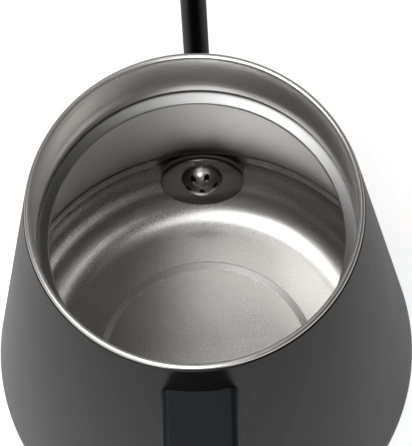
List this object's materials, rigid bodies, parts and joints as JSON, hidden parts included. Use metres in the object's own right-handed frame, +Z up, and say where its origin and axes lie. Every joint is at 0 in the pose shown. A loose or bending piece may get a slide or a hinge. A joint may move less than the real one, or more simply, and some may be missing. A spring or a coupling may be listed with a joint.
{
  "type": "electric kettle",
  "caption": "Open gooseneck electric kettle with a flared black body, bright rolled mouth, satin steel floor and domed strainer, standing on a round power base.",
  "frame": {"origin": "middle of the base's foot ring, on the table", "axes": "+Z up along the body's axis, +Y towards the spout, handle and power button at -Y"},
  "size_m": [0.131, 0.2338, 0.1802],
  "materials": {
    "black_coating": "satin powder coat",
    "polished_steel": "polished",
    "satin_steel": "satin",
    "handle_plastic": "fine texture",
    "base_plastic": "fine texture",
    "connector_plastic": "moulded",
    "button_plastic": "moulded",
    "foot_rubber": "matt",
    "seal_silicone": "moulded",
    "screw_steel": "plain",
    "spreader_aluminium": "pressed",
    "contact_brass": "plain",
    "board_green": "lacquered",
    "lens_red": "clear"
  },
  "bodies": {
    "base": {"base_housing": "base_plastic", "base_plate": "base_plastic", "base_screws": "screw_steel", "rubber_foot_ring": "foot_rubber", "base_connector": "connector_plastic", "contact_pin": "contact_brass", "inner_contact_ring": "contact_brass", "outer_contact_ring": "contact_brass", "control_board": "board_green", "power_relay": "connector_plastic", "button_switch": "connector_plastic", "indicator_lens": "lens_red", "cord_gland": "foot_rubber"},
    "jug": {"body_shell": "black_coating", "mouth_collar": "polished_steel", "lid_ledge_ring": "polished_steel", "floor_pan": "satin_steel", "spout_tube": "black_coating", "spout_ferrule": "black_coating", "strainer_plate": "satin_steel", "strainer_dome": "satin_steel", "strainer_seal": "seal_silicone", "handle_shell": "handle_plastic", "handle_bracket": "satin_steel", "handle_cover": "handle_plastic", "handle_screws": "screw_steel", "heat_spreader": "spreader_aluminium", "heating_element": "satin_steel", "element_terminals": "screw_steel", "thermal_cutout": "spreader_aluminium", "temperature_sensor": "screw_steel", "jug_connector": "connector_plastic", "socket_contact": "contact_brass", "bottom_cover": "base_plastic", "cover_studs": "screw_steel", "cover_screws": "screw_steel"},
    "button": {"power_button": "button_plastic", "button_spring": "screw_steel"}
  },
  "joints": [
    {"name": "jug_lift", "type": "slide", "parent": "base", "child": "jug", "axis": [0, 0, 1], "range_m": [0, 0.15]},
    {"name": "button_press", "type": "slide", "parent": "base", "child": "button", "axis": [0, 1, 0], "range_m": [0, 0.001], "stiffness_N_per_m": 1000, "springref_m": -0.001}
  ]
}
